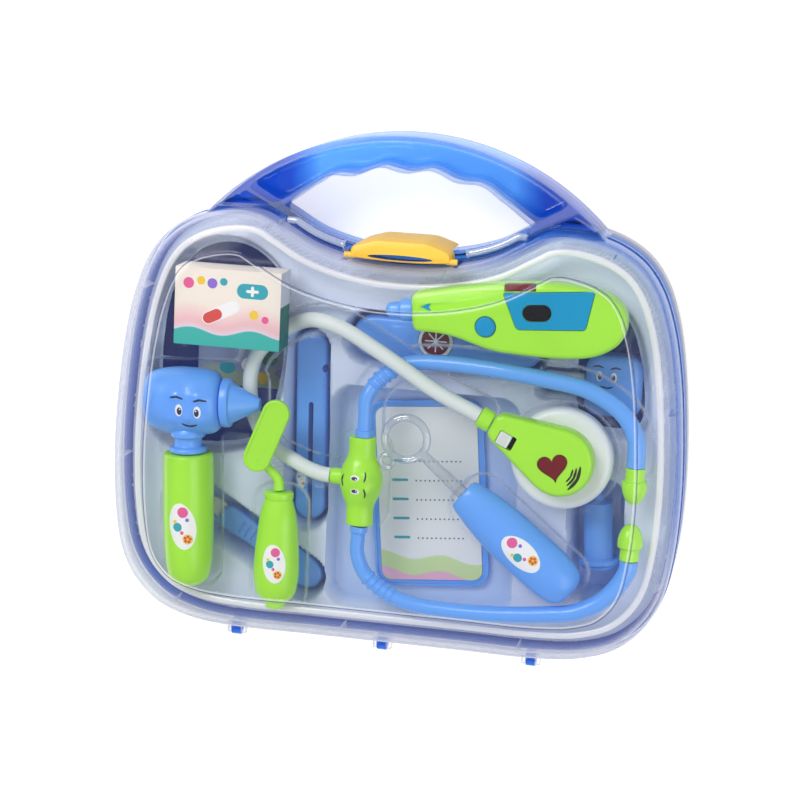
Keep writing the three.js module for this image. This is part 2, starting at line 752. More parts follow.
function mirrorHead() {
  const low = point(mirrorHeadX, mirrorHeadY);
  const along = point(Math.cos(mirrorHeadTurn), Math.sin(mirrorHeadTurn)).multiplyScalar(mirrorHeadSpan);
  const high = low.clone().add(along);
  const foot = mirrorHeadRise;
  const top = foot + mirrorHeadThickness;
  const rim = stadium(low, high, mirrorHeadRadius);
  const edge = mirrorSeatDepth;
  const paddle = solid(
    loft([raise(rim, foot), raise(rim, top - edge), raise(stadium(low, high, mirrorHeadRadius - edge), top)]),
  );
  const seat = prism(stadium(low, high, mirrorHeadRadius - mirrorSeatRim), foot - overrun, foot + mirrorSeatDepth);
  const curve = new THREE.CatmullRomCurve3([
    new THREE.Vector3(0, 2 * fit, 0),
    new THREE.Vector3(-mirrorNeckWidth * mirrorNeckBendShare, mirrorHeadY / 3, 0),
    new THREE.Vector3(mirrorHeadX / 2, (2 * mirrorHeadY) / 3, mirrorHeadRise / 2),
    new THREE.Vector3(mirrorHeadX, mirrorHeadY, foot + mirrorHeadThickness / 2),
  ]);
  const radius = (t) => (mirrorNeckWidth / 2) * (1 - t * mirrorNeckTaper);
  const neck = taperedTube(curve, evenStations(7), radius, 8);
  return join(cut(paddle, seat), solid(neck));
}

const mirrorHandle = () =>
  turnedFlat(mirrorHandleShares, mirrorHandleRadius, mirrorHandleLength, 12, mirrorFlatShare);

// Stethoscope

const hubRadius = 10.4;
const hubLength = 42.8;
const hubFlatShare = 0.8;
const hubPortRadius = 3.9;
const hubPortReach = 14.6;
const hubPortRise = 1.2;
const tubeStartRadius = 3.4;
const tubeEndRadius = 4.3;
const tubeCollarRadius = 4.3;
const tubeCollarLength = 3;
const ribHeight = 0.8;
const ribPitch = 3.4;
const ribCount = 5;
const tubeSides = 8;
const tubeSteps = 15;
const earTipRadius = 5.9;
const earTipLength = 17.4;
const hoseRadius = 3.6;
const hoseSteps = 25;
const hoseStraight = 4.8;
const collarShoulder = 1.05;
const upperRibShare = 0.145;
const lowerRibShare = 0.16;

const hubShares = [
  [0, -0.5], [0.55, -0.5], [0.62, -0.485], [0.62, -0.3], [0.9, -0.14], [1, 0], [0.9, 0.14], [0.66, 0.26],
  [0.62, 0.36], [0.62, 0.485], [0.55, 0.5], [0, 0.5],
];
const earTipShares = [
  [0, 0], [0.76, 0], [0.76, 0.34], [0.97, 0.36], [1, 0.5], [0.92, 0.68], [0.72, 0.84], [0.4, 0.96], [0, 1],
];

// The routes of the two headset tubes from the hub to the ear tips: shares of the case's half width and half
// height, with the height above or below the tools' axis as a share of the tube's radius
const upperTubeShares = [
  [-0.1, -0.137, 0], [-0.099, -0.06, 0], [-0.098, 0.018, -0.2], [-0.074, 0.076, -0.7], [-0.032, 0.126, -1.1],
  [0.017, 0.163, -1.35], [0.08, 0.181, -1.35], [0.15, 0.187, -1], [0.24, 0.188, -0.5], [0.367, 0.181, 0],
  [0.508, 0.163, 0], [0.649, 0.137, 0], [0.741, 0.087, 0], [0.793, 0.038, 0], [0.832, -0.04, 0],
  [0.84, -0.1, 0], [0.84, -0.162, 0],
];
const lowerTubeShares = [
  [-0.104, -0.513, 0], [-0.107, -0.57, 0], [-0.107, -0.627, 0], [-0.082, -0.704, 0], [-0.048, -0.745, 0],
  [0.0, -0.783, 0], [0.05, -0.81, 0], [0.13, -0.828, 0], [0.345, -0.832, 0], [0.557, -0.809, 0],
  [0.663, -0.787, 0], [0.75, -0.731, 0], [0.81, -0.65, 0], [0.836, -0.585, 0], [0.838, -0.549, 0],
];

// The hose, from the hub's port under the mirror and the carton to the chest piece: shares of the case's half width
// and half height, with the height above or below the tools' axis as a share of the hose's radius
const hoseShares = [
  [-0.2409, -0.3103, -0.0556], [-0.2883, -0.3017, -0.6111], [-0.3577, -0.2759, -1.7222],
  [-0.4263, -0.2414, -2.5833], [-0.4774, -0.1879, -2.75], [-0.5139, -0.1069, -2.75], [-0.5285, -0.0241, -2.75],
  [-0.5299, 0.0595, -2.75], [-0.5095, 0.1457, -2.75], [-0.4526, 0.2241, -2.75], [-0.3796, 0.2845, -2.75],
  [-0.3285, 0.3121, -1.6667], [-0.2701, 0.3224, -0.1667], [-0.1839, 0.2983, 0.3889], [-0.0715, 0.2319, 0.8056],
  [0.0182, 0.1716, 0.9167], [0.1299, 0.0914, 0.9167], [0.219, 0.0431, 1.1944],
];

const routePoints = (shares, radius) =>
  shares.map(([sx, sy, sz]) => {
    const place = placeOf([sx, sy]);
    return new THREE.Vector3(place.x, place.y, toolAxis + sz * radius);
  });
const smoothRoute = (points) => new THREE.CatmullRomCurve3(points, false, "centripetal");
const tubeCurve = (shares) => smoothRoute(routePoints(shares, tubeStartRadius));

// The hose starts at the hub's port and ends straight in front of the chest piece's collar.
function hoseCurve() {
  const port = new THREE.Vector3(hubPlace.x - hubPortReach - fit, hubPlace.y + hubPortRise, toolAxis);
  const height = toolAxis + (discTop + fit + housingTop) / 2;
  const neck = [hoseStraight, fit].map((step) => {
    const reach = housingLength + fit + collarLength + step;
    const x = chestPlace.x + reach * Math.cos(chestTurn);
    return new THREE.Vector3(x, chestPlace.y + reach * Math.sin(chestTurn), height);
  });
  return smoothRoute([port, ...routePoints(hoseShares, hoseRadius), ...neck]);
}

// A headset tube with a collar at the hub and a few grip rings where it starts to bend.
function headsetTube(shares, ribShare) {
  const curve = tubeCurve(shares);
  const length = curve.getLength();
  const collar = tubeCollarLength / length;
  const step = ribPitch / length;
  const ribs = Array.from({ length: ribCount }, (_, i) => ribShare + i * step);
  const ribEdges = ribs.flatMap((t) => [t - step / 2, t]);
  const plain = evenStations(tubeSteps).filter(
    (t) => t > 2 * collar && (t < ribShare - step || t > ribShare + ribCount * step),
  );
  const stations = [0, collar, collar * collarShoulder, ...ribEdges, ...plain].sort((a, b) => a - b);
  const radiusAt = (t) => {
    if (t <= collar) return tubeCollarRadius;
    const taper = tubeStartRadius + (tubeEndRadius - tubeStartRadius) * t;
    const onRib = ribs.some((r) => Math.abs(t - r) < step / 4);
    return onRib ? taper + ribHeight : taper;
  };
  return taperedTube(curve, stations, radiusAt, tubeSides);
}

function hub() {
  const body = turnedFlat(hubShares, hubRadius, hubLength, 12, hubFlatShare);
  const port = new THREE.CylinderGeometry(hubPortRadius, hubPortRadius, hubPortReach, 10);
  port.rotateZ(Math.PI / 2).translate(-hubPortReach / 2, hubPortRise, 0);
  return join(solid(body), solid(port));
}

const earTip = () => turned(earTipShares, earTipRadius, earTipLength, 10);

function hose() {
  const curve = hoseCurve();
  const section = new THREE.Shape(circle(point(0, 0), hoseRadius, tubeSides));
  return new THREE.ExtrudeGeometry(section, { steps: hoseSteps, extrudePath: curve, bevelEnabled: false });
}

// Chest piece: local +X points from the disc's middle to the neck

const chestTurn = degrees(154.5);
const discRadius = 24.1;
const discThickness = 9;
const discEdge = 2.2;
const discFoot = -8;
const housingRadius = 16.2;
const housingNeckHalf = 5.9;
const housingLength = 36;
const housingHeight = 8.2;
const housingEdge = 1.6;
const collarRadius = 5.1;
const collarLength = 6.2;
const heartSize = 12;
const heartX = 2.4;
const heartY = 3.6;
const heartTurn = degrees(-120);
const heartDepth = 1.2;
const heartProud = 0.4;
const slideX = 27.4;
const slideY = 3;
const slideLength = 6;
const slideWidth = 6.4;
const slideTravel = 2;
const slideDepth = 3;
const slideProud = 0.8;

// The heart's curve: the cube of a sine across, and a sum of four cosines up
const heartWaves = { across: 16, up: [13, -5, -2, -1] };

const discTop = discFoot + discThickness;
const housingTop = discTop + fit + housingHeight;

function chestDisc() {
  const half = discThickness;
  const profile = [
    point(0, 0), point(discRadius - discEdge, 0), point(discRadius, discEdge / 2), point(discRadius, half - discEdge),
    point(discRadius - discEdge / 2, half - discEdge / 3), point(discRadius - 2 * discEdge, half), point(0, half),
  ];
  return new THREE.LatheGeometry(profile, 24).rotateX(Math.PI / 2).translate(0, 0, discFoot);
}

// The drop-shaped outline of the housing, drawn in by a distance.
function housingOutline(distance) {
  const radius = housingRadius - distance;
  const neck = housingNeckHalf - distance;
  const lean = Math.asin((radius - neck) / housingLength);
  const start = Math.PI / 2 - lean;
  const steps = 14;
  const round = Array.from({ length: steps + 1 }, (_, i) => {
    const a = start + ((2 * Math.PI - 2 * start) * i) / steps;
    return point(radius * Math.cos(a), radius * Math.sin(a));
  });
  return [...round, point(housingLength - distance / 2, -neck), point(housingLength - distance / 2, neck)];
}

function chestHousing() {
  const foot = discTop + fit;
  const body = solid(
    loft([
      raise(housingOutline(0), foot),
      raise(housingOutline(0), housingTop - housingEdge),
      raise(housingOutline(housingEdge / 3), housingTop - housingEdge / 3),
      raise(housingOutline(housingEdge), housingTop),
    ]),
  );
  const heartHole = prism(heartOutline(heartSize + 2 * fit), housingTop - heartDepth - fit, housingTop + overrun);
  const slot = slideSlot();
  return cut(body, heartHole, slot);
}

// The recess that the slide switch runs in.
function slideSlot() {
  const travelMiddle = point(slideX - slideTravel / 2, slideY);
  const length = slideLength + slideTravel + 2 * fit;
  const shape = roundedRectangle(travelMiddle, length, slideWidth + 2 * fit, fit);
  return prism(shape, housingTop - slideDepth - fit, housingTop + overrun);
}

function slideButton() {
  const shape = roundedRectangle(point(slideX, slideY), slideLength, slideWidth, fit);
  return prism(shape, housingTop - slideDepth, housingTop + slideProud);
}

// A heart with its lobes towards +Y before it is turned.
function heartOutline(size) {
  const steps = 20;
  const points = Array.from({ length: steps }, (_, i) => {
    const t = (2 * Math.PI * i) / steps;
    const x = -(Math.sin(t) ** 3);
    const y = heartWaves.up.reduce((sum, wave, k) => sum + wave * Math.cos((k + 1) * t), 0);
    return point((x * size) / 2, (y * size) / (2 * heartWaves.across));
  });
  return laid(points, point(heartX, heartY), heartTurn);
}

const heartLens = () => prism(heartOutline(heartSize), housingTop - heartDepth, housingTop + heartProud);

function chestCollar() {
  const middle = (discTop + fit + housingTop) / 2;
  const collar = new THREE.CylinderGeometry(collarRadius, collarRadius, collarLength, 14);
  return collar.rotateZ(Math.PI / 2).scale(1, 1, housingHeight / (2 * collarRadius)).translate(
    housingLength + fit + collarLength / 2, 0, middle,
  );
}

// Thermometer: local +X runs from the tip's end to the round end

const thermometerTurn = degrees(4.5);
const thermometerLength = 99;
const thermometerWidth = 34.4;
const thermometerFoot = -6.2;
const thermometerSplit = 1.8;
const thermometerTop = 9.8;
const buttonSides = 18;
const thermometerEdge = 1.8;
const panelDepth = 1;
const windowWidth = 13;
const windowHeight = 7.4;
const windowX = 58.5;
const windowY = -0.2;
const buttonRadius = 4.7;
const buttonX = 34.5;
const buttonY = -6.5;
const buttonDepth = 3.4;
const buttonProud = 1.2;
const buttonTravel = 1;
const sideLensX = 51;
const sideLensLength = 14;
const sideLensHeight = 3;
const sideLensDepth = 1.2;
const probeRadius = 5.4;
const probeLength = 13.7;

// Shares of the thermometer's length and width along its edge
const thermometerShares = [
  [0, 0.256], [0.233, 0.34], [0.423, 0.374], [0.712, 0.36], [0.851, 0.279], [0.947, 0.165], [1, -0.055],
  [0.983, -0.378], [0.925, -0.517], [0.838, -0.61], [0.673, -0.625], [0.515, -0.581], [0.38, -0.526],
  [0.286, -0.433], [0.209, -0.346], [0.131, -0.29], [0, -0.253],
];
const panelShares = [[0.431, 0.273], [0.866, 0.285], [0.816, -0.244], [0.492, -0.234]];
const probeShares = [[0, 0], [0.86, 0], [1, 0.06], [1, 0.4], [0.72, 0.5], [0.66, 0.8], [0.36, 0.96], [0, 1]];

const thermometerEdgeLine = (distance) => {
  const sized = thermometerShares.map(([sx, sy]) => point(sx * thermometerLength, sy * thermometerWidth));
  return inset(sized, distance);
};
const panelLine = (distance) =>
  inset(panelShares.map(([sx, sy]) => point(sx * thermometerLength, sy * thermometerWidth)), distance);

function thermometerFront() {
  const low = thermometerSplit + fit / 2;
  const body = solid(
    loft([
      raise(thermometerEdgeLine(0), low),
      raise(thermometerEdgeLine(thermometerEdge / 4), thermometerTop - thermometerEdge),
      raise(thermometerEdgeLine(thermometerEdge), thermometerTop),
    ]),
  );
  const recess = prism(panelLine(0), thermometerTop - panelDepth, thermometerTop + overrun);
  const well = prism(
    circle(point(buttonX, buttonY), buttonRadius + fit, buttonSides),
    thermometerTop - buttonDepth - buttonTravel - fit,
    thermometerTop + overrun,
  );
  return cut(body, recess, well, sideLensBlock(fit));
}

function thermometerBack() {
  const high = thermometerSplit - fit / 2;
  return loft([
    raise(thermometerEdgeLine(thermometerEdge), thermometerFoot),
    raise(thermometerEdgeLine(thermometerEdge / 4), thermometerFoot + thermometerEdge),
    raise(thermometerEdgeLine(0), high),
  ]);
}

function thermometerPanel() {
  const plate = prism(panelLine(fit), thermometerTop - panelDepth + fit, thermometerTop + fit);
  const hole = roundedRectangle(
    point(windowX, windowY), windowWidth + 2 * fit, windowHeight + 2 * fit, (windowHeight + 2 * fit) / 2 - fit / 4, 5,
  );
  return cut(plate, prism(hole, thermometerTop - 2 * panelDepth, thermometerTop + overrun));
}

function thermometerWindow() {
  const shape = roundedRectangle(point(windowX, windowY), windowWidth, windowHeight, windowHeight / 2 - fit / 4, 5);
  return prism(shape, thermometerTop - panelDepth + fit, thermometerTop);
}

function thermometerButton() {
  const shape = circle(point(buttonX, buttonY), buttonRadius, buttonSides);
  const dome = circle(point(buttonX, buttonY), buttonRadius - buttonProud / 2, buttonSides);
  const top = thermometerTop + buttonProud;
  return loft([raise(shape, thermometerTop - buttonDepth), raise(shape, top - buttonProud / 2), raise(dome, top)]);
}

// The red lens let into the upper side wall.
function sideLensBlock(extra) {
  const half = sideLensLength / 2 + extra;
  const edge = thermometerShares[2][1] * thermometerWidth;
  const z = thermometerTop - thermometerEdge - sideLensHeight / 2 - fit;
  const low = [sideLensX - half, edge - thermometerEdge - extra, z - sideLensHeight / 2 - extra];
  const high = [sideLensX + half, edge + (extra ? overrun : fit), z + sideLensHeight / 2 + extra];
  return solid(block(low, high));
}

const thermometerProbe = () =>
  turnedAcross(probeShares, probeRadius, probeLength, 12, 1).rotateZ(Math.PI).translate(-fit, 0, 0);

// Ring lens: local +X runs down the handle from its upper end

const lensTurn = degrees(-38.7);
const lensHandleRadius = 12.4;
const lensHandleLength = 69;
const lensFlatShare = 0.74;
const ringRadius = 10.2;
const ringTube = 1.9;
const ringTurn = degrees(179);
const ringReach = 36.9;
const loopTurn = degrees(93);
const loopRadius = 3.1;
const loopTube = 1.2;
const lensRodRadius = 3.4;
const lensRodEnd = 1.6;
const lensSocketShare = 1.1;
const lensRodTaper = 0.75;

const lensHandleShares = [
  [0, 0], [0.6, 0], [0.66, 0.02], [0.84, 0.16], [0.98, 0.38], [1, 0.55], [1, 0.76], [0.92, 0.89], [0.72, 0.97],
  [0.4, 1], [0, 1],
];

const ringCentre = () => point(ringReach * Math.cos(ringTurn), ringReach * Math.sin(ringTurn));

function lensHandle() {
  const body = solid(turnedAcross(lensHandleShares, lensHandleRadius, lensHandleLength, 12, lensFlatShare));
  const socket = new THREE.CylinderGeometry(lensRodRadius, lensRodRadius, lensRodRadius * 4, 10);
  return cut(body, solid(socket.scale(lensSocketShare, 1, lensSocketShare).rotateZ(Math.PI / 2)));
}

// The clear ring, the small loop on its far side and the rod that goes into the handle.
function lensRing() {
  const centre = ringCentre();
  const away = centre.clone().normalize();
  const ring = new THREE.TorusGeometry(ringRadius, ringTube, 6, 18).translate(centre.x, centre.y, 0);
  const loopWay = away.clone().rotateAround(point(0, 0), loopTurn);
  const loopSpot = centre.clone().addScaledVector(loopWay, ringRadius + loopRadius + ringTube / 2);
  const loop = new THREE.TorusGeometry(loopRadius, loopTube, 5, 10).translate(loopSpot.x, loopSpot.y, 0);
  const start = centre.clone().addScaledVector(away, -ringRadius);
  const rodPoints = [
    new THREE.Vector3(start.x, start.y, 0),
    new THREE.Vector3(start.x / 2, start.y / 2, 0),
    new THREE.Vector3(0, 0, 0),
    new THREE.Vector3(lensRodEnd * lensRodRadius, 0, 0),
  ];
  const curve = new THREE.CatmullRomCurve3(rodPoints);
  const rod = taperedTube(curve, evenStations(5), (t) => lensRodRadius * (lensRodTaper + (1 - lensRodTaper) * t), 8);
  return join(solid(ring), solid(loop), solid(rod));
}

// Carton

const cartonWidth = 51.5;
const cartonHeight = 37;
const cartonDepth = 17;
const cartonRise = 8;
const cartonFoot = lidFoot + cartonRise;

// Lower tools

const forcepsLength = 93;
const forcepsWidth = 15;
const forcepsTurn = degrees(1.4);
const forcepsThickness = 9;
const forcepsSink = 16.2;
const forcepsFoot = trayPlane - forcepsSink;
const forcepsNotch = 2.2;
const forcepsSlit = 2.4;
const forcepsNotchShare = 1.2;
const forcepsSlitShare = 2.4;
const forcepsTipShare = 0.8;
const scalpelLength = 58;
const scalpelWidth = 16;
const scalpelThickness = 8;
const scalpelTurn = degrees(149);
const scalpelSink = 14.2;
const scalpelFoot = trayPlane - scalpelSink;
const scalpelShares = [
  [1, -0.6], [1, 0.6], [0.62, 0.68], [0.46, 0.96], [0.2, 1], [0.09, 0.85], [0.02, 0.5], [0, 0], [0.02, -0.5],
  [0.09, -0.85], [0.2, -1], [0.46, -0.96], [0.62, -0.68],
];
const bladeLength = 14;
const bladeWidth = 8;
const bladeThickness = 1.6;
const bladeEdgeShare = 0.6;
const boardWidth = 56;
const boardHeight = 92;
const boardThickness = 3;
const boardSink = 11.2;
const boardFoot = trayPlane - boardSink;
const boardCorner = 8;
const boardTurn = degrees(5);
const boardRim = 1.2;
const cardMargin = 3.2;
const cardThickness = 0.5;
const gaugeLength = 92;
const gaugeWidth = 20;
const gaugeThickness = 12;
const gaugeSink = 16.2;
const gaugeFoot = trayPlane - gaugeSink;
const dialRadius = 6.8;
const dialRim = 1.6;
const dialX = -5.4;
const dialSides = 18;
const hammerWidth = 27;
const hammerHeight = 29;
const hammerThickness = 16;
const hammerSink = 18.2;
const hammerFoot = trayPlane - hammerSink;
const hammerShaft = 19;
const hammerShaftRadius = 4.4;
const hammerShaftTaper = 0.9;
const syringeRadius = 7;
const syringeLength = 30;
const syringeFlangeRadius = 9.9;
const syringeFlange = 2.4;
const syringeNozzleRadius = 2.4;
const syringeNozzle = 9;
const syringeBore = 5.4;
const syringeSink = 9.8;
const syringeAxis = trayPlane - syringeSink;
const syringeTurn = degrees(4);
const plungerTravel = 9;
const plungerPad = 2;
const plungerPadShare = 0.8;
const nozzleTipShare = 0.7;
const shoulderShare = 0.8;
const shoulderHeight = 1;
const leafletWidth = 46;
const leafletHeight = 58;
const leafletThickness = 0.8;

// One-piece forceps: two arms joined at the round top, seen from above.
function forceps() {
  const half = forcepsWidth / 2;
  const top = point(0, -half);
  const low = point(0, -forcepsLength + half);
  const body = prism(
    stadium(low, top, half).map((p) => point(p.x * (p.y < low.y ? forcepsTipShare : 1), p.y)),
    0,
    forcepsThickness,
  );
  const notchSpot = point(half, -forcepsNotchShare * forcepsWidth);
  const notch = prism(circle(notchSpot, forcepsNotch, 10), -overrun, forcepsThickness + overrun);
  const slit = prism(
    stadium(point(0, -forcepsLength - half), point(0, -forcepsSlitShare * forcepsWidth), forcepsSlit / 2, 4),
    -overrun,
    forcepsThickness + overrun,
  );
  return cut(body, notch, slit);
}

// The scalpel's handle runs from its round end along +X, and the blade is set in the far end.
function scalpelHandle() {
  const edge = scalpelThickness / 8;
  const line = scalpelShares.map(([sx, sy]) => point(sx * scalpelLength, (sy * scalpelWidth) / 2));
  return solid(
    loft([
      raise(inset(line, edge), 0),
      raise(line, 2 * edge),
      raise(line, scalpelThickness - 2 * edge),
      raise(inset(line, edge), scalpelThickness),
    ]),
  );
}

function scalpelBlade() {
  const root = scalpelLength + fit;
  const half = bladeWidth / 2;
  const shape = [
    point(root, -half), point(root + bladeLength * bladeEdgeShare, -half), point(root + bladeLength, half),
    point(root, half),
  ];
  const middle = scalpelThickness / 2;
  return prism(shape, middle - bladeThickness / 2, middle + bladeThickness / 2);
}

// A board with a shallow recess for the card.
function clipboard() {
  const centre = point(0, 0);
  const body = prism(roundedRectangle(centre, boardWidth, boardHeight, boardCorner), 0, boardThickness);
  const seat = roundedRectangle(centre, boardWidth - 2 * boardRim, boardHeight - 2 * boardRim, boardCorner - boardRim);
  return cut(body, prism(seat, boardThickness - cardThickness - fit, boardThickness + overrun));
}

function recordCard() {
  const shape = roundedRectangle(
    point(0, 0), boardWidth - 2 * cardMargin, boardHeight - 2 * cardMargin, boardCorner - cardMargin,
  );
  return prism(shape, 0, cardThickness);
}

function gaugeBody() {
  const half = gaugeWidth / 2;
  const shape = stadium(point(-gaugeLength / 2 + half, 0), point(gaugeLength / 2 - half, 0), half);
  const body = loft([
    raise(shape, 0),
    raise(shape, gaugeThickness - half / 4),
    raise(inset(shape, half / 4), gaugeThickness),
  ]);
  const recess = circle(point(dialX, 0), dialRadius + dialRim + fit, dialSides);
  const seat = prism(recess, gaugeThickness - 2 * dialRim, gaugeThickness + overrun);
  return cut(solid(body), seat);
}

function gaugeRing() {
  const centre = point(dialX, 0);
  const low = gaugeThickness - 2 * dialRim + fit;
  const high = gaugeThickness + dialRim / 2;
  const outer = prism(circle(centre, dialRadius + dialRim, dialSides), low, high);
  return cut(outer, prism(circle(centre, dialRadius, dialSides), low - overrun, high + overrun));
}

function gaugeDial() {
  const low = gaugeThickness - 2 * dialRim + fit;
  return prism(circle(point(dialX, 0), dialRadius - fit, dialSides), low, gaugeThickness);
}

function hammerHead() {
  const edge = hammerThickness / 5;
  const shape = roundedRectangle(point(0, 0), hammerWidth, hammerHeight, hammerWidth / 4);
  return loft([
    raise(inset(shape, edge), 0),
    raise(shape, edge),
    raise(shape, hammerThickness - edge),
    raise(inset(shape, edge), hammerThickness),
  ]);
}

function hammerHandle() {
  const bar = new THREE.CylinderGeometry(
    hammerShaftRadius, hammerShaftRadius * hammerShaftTaper, hammerShaft, 12,
  );
  return bar.rotateZ(Math.PI / 2).translate(-hammerWidth / 2 - fit - hammerShaft / 2, 0, hammerThickness / 2);
}

// The barrel points its nozzle up (+Y) and opens at the flange.
function syringeBarrel() {
  const r = syringeRadius;
  const low = -syringeLength;
  const profile = [
    point(0, syringeNozzle), point(syringeNozzleRadius * nozzleTipShare, syringeNozzle),
    point(syringeNozzleRadius, shoulderHeight), point(r * shoulderShare, 0), point(r, -r / 6),
    point(r, low + syringeFlange), point(syringeFlangeRadius, low + syringeFlange), point(syringeFlangeRadius, low),
    point(syringeBore, low), point(syringeBore, -r / 3), point(0, -r / 3),
  ];
  return new THREE.LatheGeometry(profile.reverse(), 12);
}

function syringePlunger() {
  const r = syringeBore - fit;
  const low = -syringeLength;
  const seal = -syringeRadius / 3 - fit - plungerPad;
  const pad = syringeFlangeRadius * plungerPadShare;
  const profile = [
    point(0, seal), point(r, seal), point(r, seal - 2 * plungerPad), point(r / 2, seal - 2 * plungerPad),
    point(r / 2, low - fit), point(pad, low - fit), point(pad, low - fit - plungerPad),
    point(0, low - fit - plungerPad),
  ];
  return new THREE.LatheGeometry(profile.reverse(), 12);
}

// Formed trays

const trayThickness = 1;
const trayInset = 3.6;
const pocketClearance = 0.8;
const blisterThickness = 0.8;
const blisterFlange = trayPlane + trayThickness + fit;
const blisterRise = 9.9;
const blisterPlane = blisterFlange + blisterRise;
const blisterSkirt = 7.5;
const channelSteps = 10;
const hoseChannelSteps = 16;
const boardPocketWidth = 86;
const boardPocketHeight = 104;
const boardPocketPlace = placeOf([0.09, -0.43]);

// Where each formed pocket lies and how deep it goes. A pocket without a floor is open below.
function trayPockets() {
  const c = pocketClearance;
  const r = syringeFlangeRadius + c;
  const stretch = plungerTravel + 2 * plungerPad;
  const shaftEnd = -hammerWidth / 2 - fit - hammerShaft;
  const syringeMiddle = point(0, (syringeNozzle - syringeLength - stretch) / 2);
  const syringeReach = syringeLength + syringeNozzle + stretch + 2 * c;
  return [
    { line: cartonWell(), low: null },
    { line: hammerWell(), low: null },
    {
      line: laid(barPocket(shaftEnd, -hammerWidth / 2, hammerShaftRadius, true), hammerPlace, 0),
      low: hammerFoot + hammerThickness / 2 - hammerShaftRadius,
    },
    {
      line: laid(
        stadium(point(0, -forcepsLength + forcepsWidth / 2), point(0, -forcepsWidth / 2), forcepsWidth / 2 + c),
        forcepsPlace, forcepsTurn,
      ),
      low: forcepsFoot,
    },
    {
      line: laid(
        stadium(point(scalpelWidth / 2, 0), point(scalpelLength + bladeLength, 0), scalpelWidth / 2 + c),
        scalpelPlace, scalpelTurn,
      ),
      low: scalpelFoot,
    },
    { line: roundedRectangle(boardPocketPlace, boardPocketWidth, boardPocketHeight, boardCorner), low: boardFoot },
    {
      line: laid(
        stadium(
          point(-gaugeLength / 2 + gaugeWidth / 2, 0), point(gaugeLength / 2 - gaugeWidth / 2, 0), gaugeWidth / 2 + c,
        ),
        gaugePlace, 0,
      ),
      low: gaugeFoot,
    },
    {
      line: laid(roundedRectangle(syringeMiddle, 2 * r, syringeReach, r / 2), syringePlace, syringeTurn),
      low: syringeAxis - syringeFlangeRadius,
    },
  ];
}

// The open well below the carton and the otoscope's head.
const wellShares = [
  [-0.86, 0.36], [-0.8, 0.5], [-0.73, 0.575], [-0.63, 0.6], [-0.54, 0.57], [-0.45, 0.47], [-0.43, 0.3],
  [-0.44, 0.02], [-0.5, -0.2], [-0.6, -0.26], [-0.86, -0.24], [-0.89, 0.05],
];
const cartonWell = () => wellShares.map((share) => placeOf(share)).reverse();

// The open well round the hammer's head and the thermometer's end.
const hammerWellShares = [
  [0.6, 0.03], [0.6, 0.27], [0.62, 0.42], [0.74, 0.46], [0.84, 0.4], [0.88, 0.2], [0.87, -0.02], [0.8, -0.06],
  [0.64, -0.04],
];
const hammerWell = () => hammerWellShares.map((share) => placeOf(share)).reverse();

// A sheet with pockets: each pocket's outer body is added, then its inside is cut out.
function formedSheet(sheet, plane, thickness, pockets) {
  const top = plane + thickness;
  const outers = pockets.map(({ line, low }) => {
    const foot = low === null ? plane - 4 * thickness : low - fit - thickness;
    return prism(inset(line, -thickness), foot, top);
  });
  const inners = pockets.map(({ line, low }) => {
    const foot = low === null ? 0 : low - fit;
    return prism(line, foot, top + overrun);
  });
  return cut(join(sheet, ...outers), ...inners);
}

function tray() {
  const sheet = caseBody([[trayPlane, trayInset], [trayPlane + trayThickness, trayInset]]);
  return formedSheet(sheet, trayPlane, trayThickness, trayPockets());
}

// A pocket's outline round a bar that lies along Y, or along X where it lies across.
function barPocket(from, to, radius, across = false) {
  const c = pocketClearance;
  const middle = (from + to) / 2;
  const length = Math.abs(to - from) + 2 * c;
  const width = 2 * (radius + c);
  const corner = radius / 2;
  return across
    ? roundedRectangle(point(middle, 0), length, width, corner)
    : roundedRectangle(point(0, middle), width, length, corner);
}

